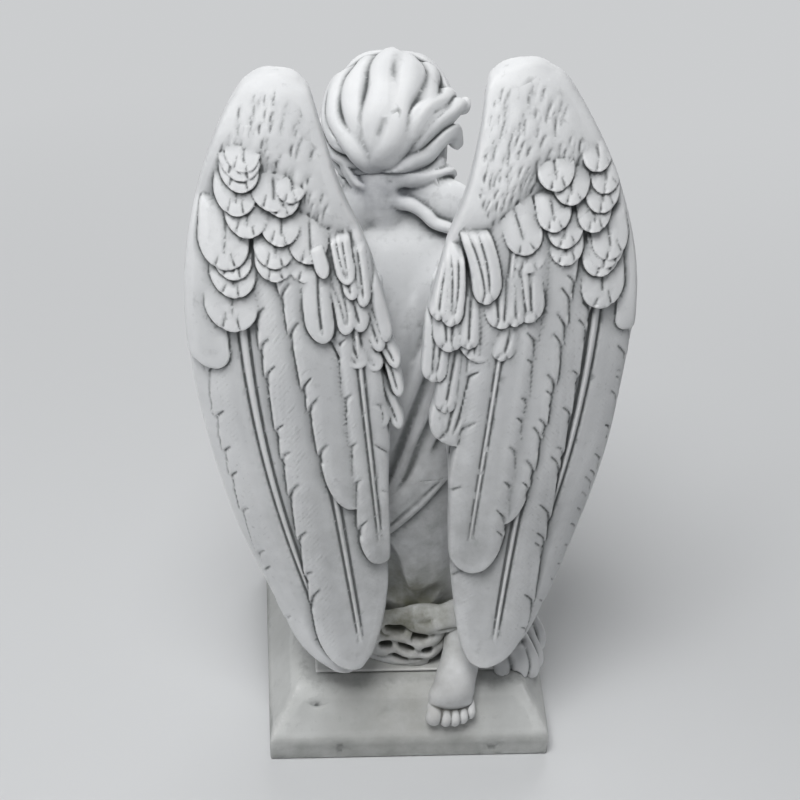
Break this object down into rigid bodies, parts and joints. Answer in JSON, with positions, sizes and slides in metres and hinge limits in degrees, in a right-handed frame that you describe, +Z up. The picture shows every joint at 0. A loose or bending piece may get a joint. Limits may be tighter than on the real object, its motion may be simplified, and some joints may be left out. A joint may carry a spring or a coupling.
{
  "type": "kneeling angel garden figurine",
  "caption": "Kneeling robed angel with folded feathered wings on a square plinth, cast in sections and joined on steel dowels.",
  "frame": {"origin": "centre of the plinth's underside, on the closing plate's lower face", "axes": "+Z up; the figure faces -Y, so the wings' backs face +Y; its right-hand side is at -X"},
  "size_m": [0.337, 0.2569, 0.612],
  "materials": {
    "cast_resin": "matte, weathered white with grey dirt in the hollows",
    "plinth_resin": "matte, weathered, slightly greyer",
    "steel": "zinc-plated"
  },
  "bodies": {
    "root": {"plinth": "plinth_resin", "base_plate": "plinth_resin", "base_plate_screws": "steel", "ground_slab": "cast_resin", "armature_rod": "steel", "armature_nut": "steel", "armature_washer": "steel", "gown_skirt": "cast_resin", "right_foot": "cast_resin", "left_foot": "cast_resin", "foot_pins": "steel", "torso": "cast_resin", "right_arm": "cast_resin", "left_arm": "cast_resin", "shoulder_pins": "steel", "head": "cast_resin", "neck_pin": "steel", "left_wing": "cast_resin", "right_wing": "cast_resin", "wing_pins": "steel"}
  },
  "joints": []
}
